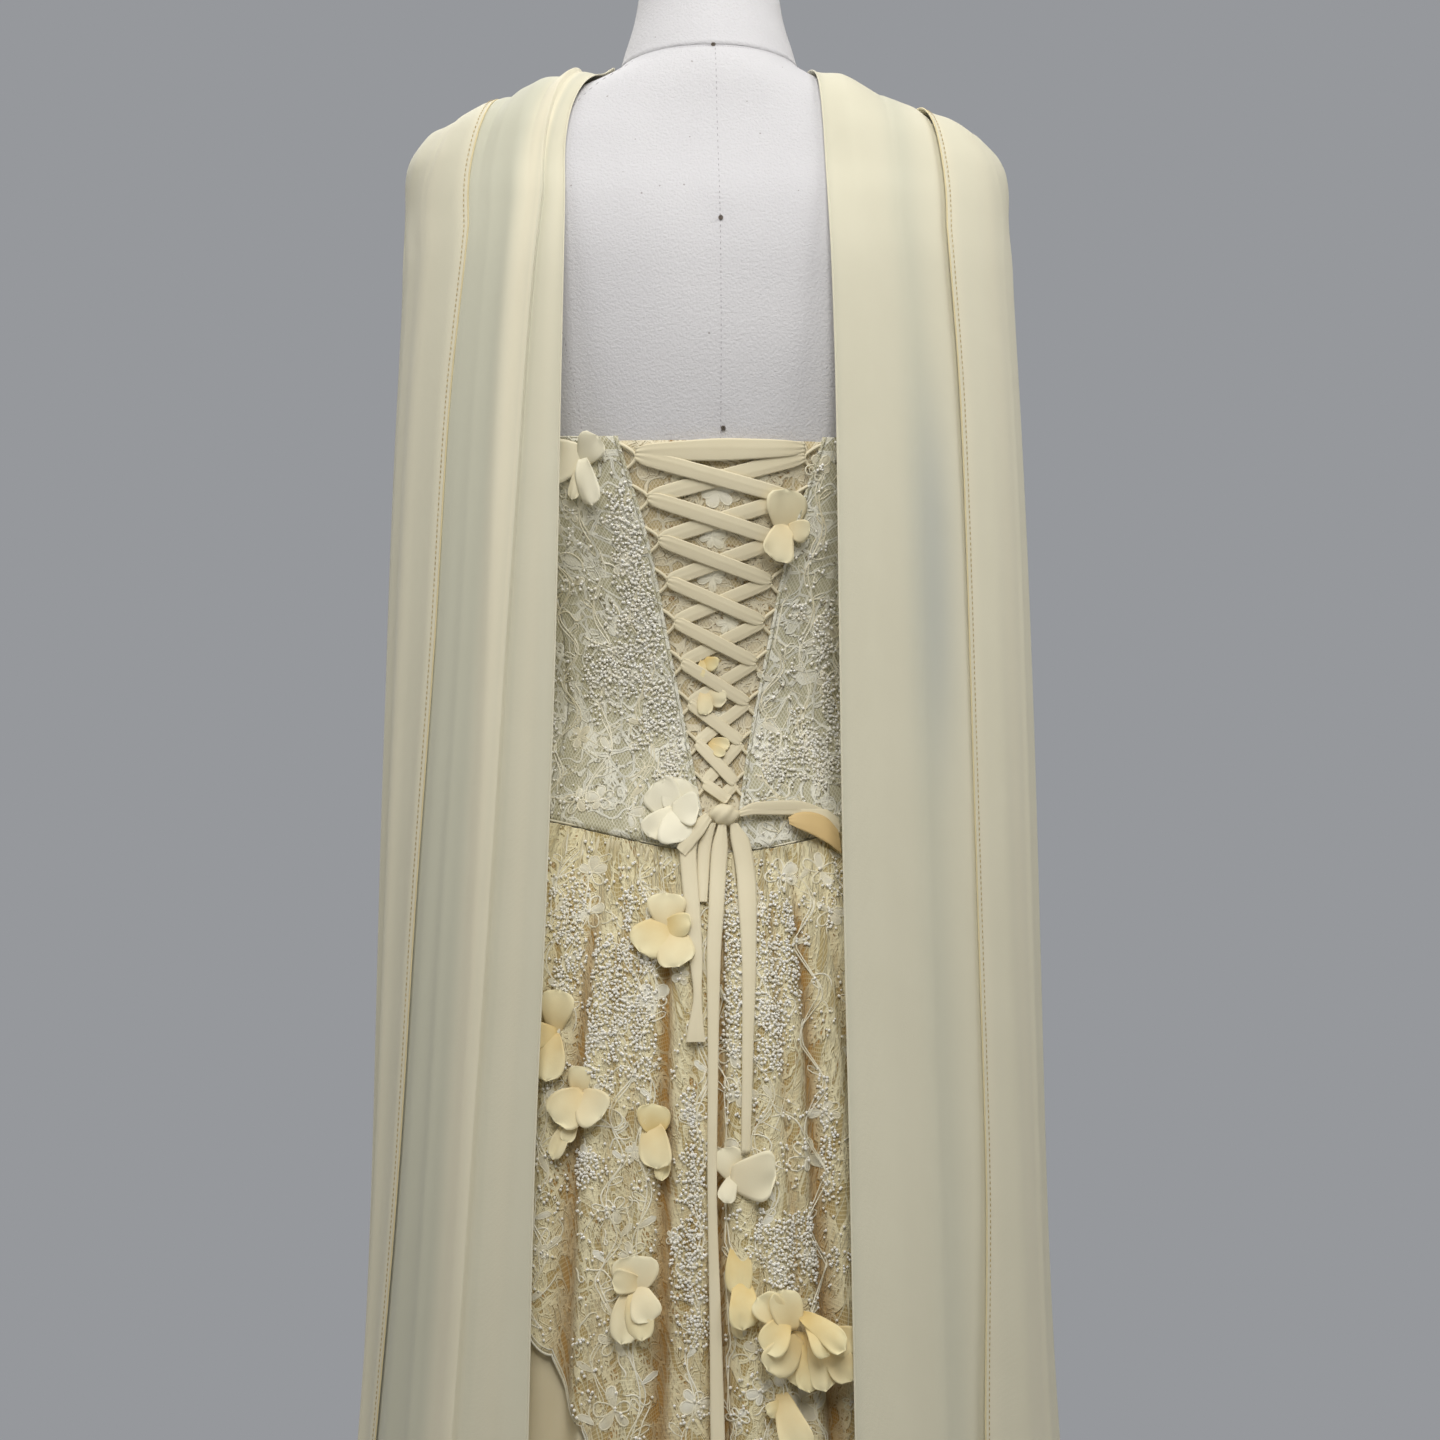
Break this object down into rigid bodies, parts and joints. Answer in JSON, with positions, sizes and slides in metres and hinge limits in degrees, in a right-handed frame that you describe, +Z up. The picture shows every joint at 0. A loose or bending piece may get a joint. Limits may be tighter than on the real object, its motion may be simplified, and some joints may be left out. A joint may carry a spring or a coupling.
{
  "type": "ball gown on dress form",
  "caption": "Strapless lace gown with a V-shaped laced back, beaded lace overskirt on a plain skirt, petal trims and a long open shoulder cape, on a canvas dress form with a disc stand.",
  "frame": {"origin": "centre of the stand base's flat underside, on the floor", "axes": "+Z up along the pole, +Y towards the gown's laced back, -Y towards its front, +X towards the wearer's left"},
  "size_m": [0.6677, 0.6041, 1.5635],
  "materials": {
    "lace": "corded ivory lace with beading over cream tulle, matte",
    "lining": "cream satin-faced lining, soft sheen",
    "chiffon": "butter-cream chiffon, fine weave, matte",
    "ribbon": "cream satin-back ribbon and rouleau cord, soft sheen",
    "petal": "stiffened butter-yellow organza petals",
    "canvas": "off-white linen canvas over a padded form",
    "steel": "satin cream-grey paint"
  },
  "bodies": {
    "root": {"form_torso": "canvas", "form_neck": "canvas", "form_neck_cap": "canvas", "stand_base": "steel", "stand_pole": "steel", "bodice_back_left": "lace", "bodice_side_left": "lace", "bodice_cup_left": "lace", "loop_band_left": "ribbon", "bodice_back_right": "lace", "bodice_side_right": "lace", "bodice_cup_right": "lace", "loop_band_right": "ribbon", "bodice_front": "lace", "modesty_panel": "lace", "lacing_ribbon_a": "ribbon", "lacing_ribbon_b": "ribbon", "underskirt_back": "lining", "underskirt_front": "lining", "lace_skirt_back_left": "lace", "lace_skirt_back_right": "lace", "lace_skirt_front": "lace", "tie_knot": "ribbon", "tie_tail_a": "ribbon", "tie_tail_b": "ribbon", "tie_tail_c": "ribbon", "tie_tail_d": "ribbon", "tie_tab": "ribbon", "tie_loop": "ribbon", "cape_left_inner": "chiffon", "cape_left_outer": "chiffon", "cape_right_inner": "chiffon", "cape_right_outer": "chiffon", "blossom_back_1": "petal", "blossom_back_2": "petal", "blossom_back_3": "petal", "blossom_back_4": "petal", "blossom_back_5": "petal", "blossom_back_6": "petal", "blossom_back_7": "petal", "blossom_back_8": "petal", "blossom_back_9": "petal", "blossom_back_10": "petal", "blossom_back_11": "petal", "blossom_back_12": "petal", "blossom_front_1": "petal", "blossom_front_2": "petal", "blossom_front_3": "petal", "blossom_front_4": "petal"}
  },
  "joints": []
}
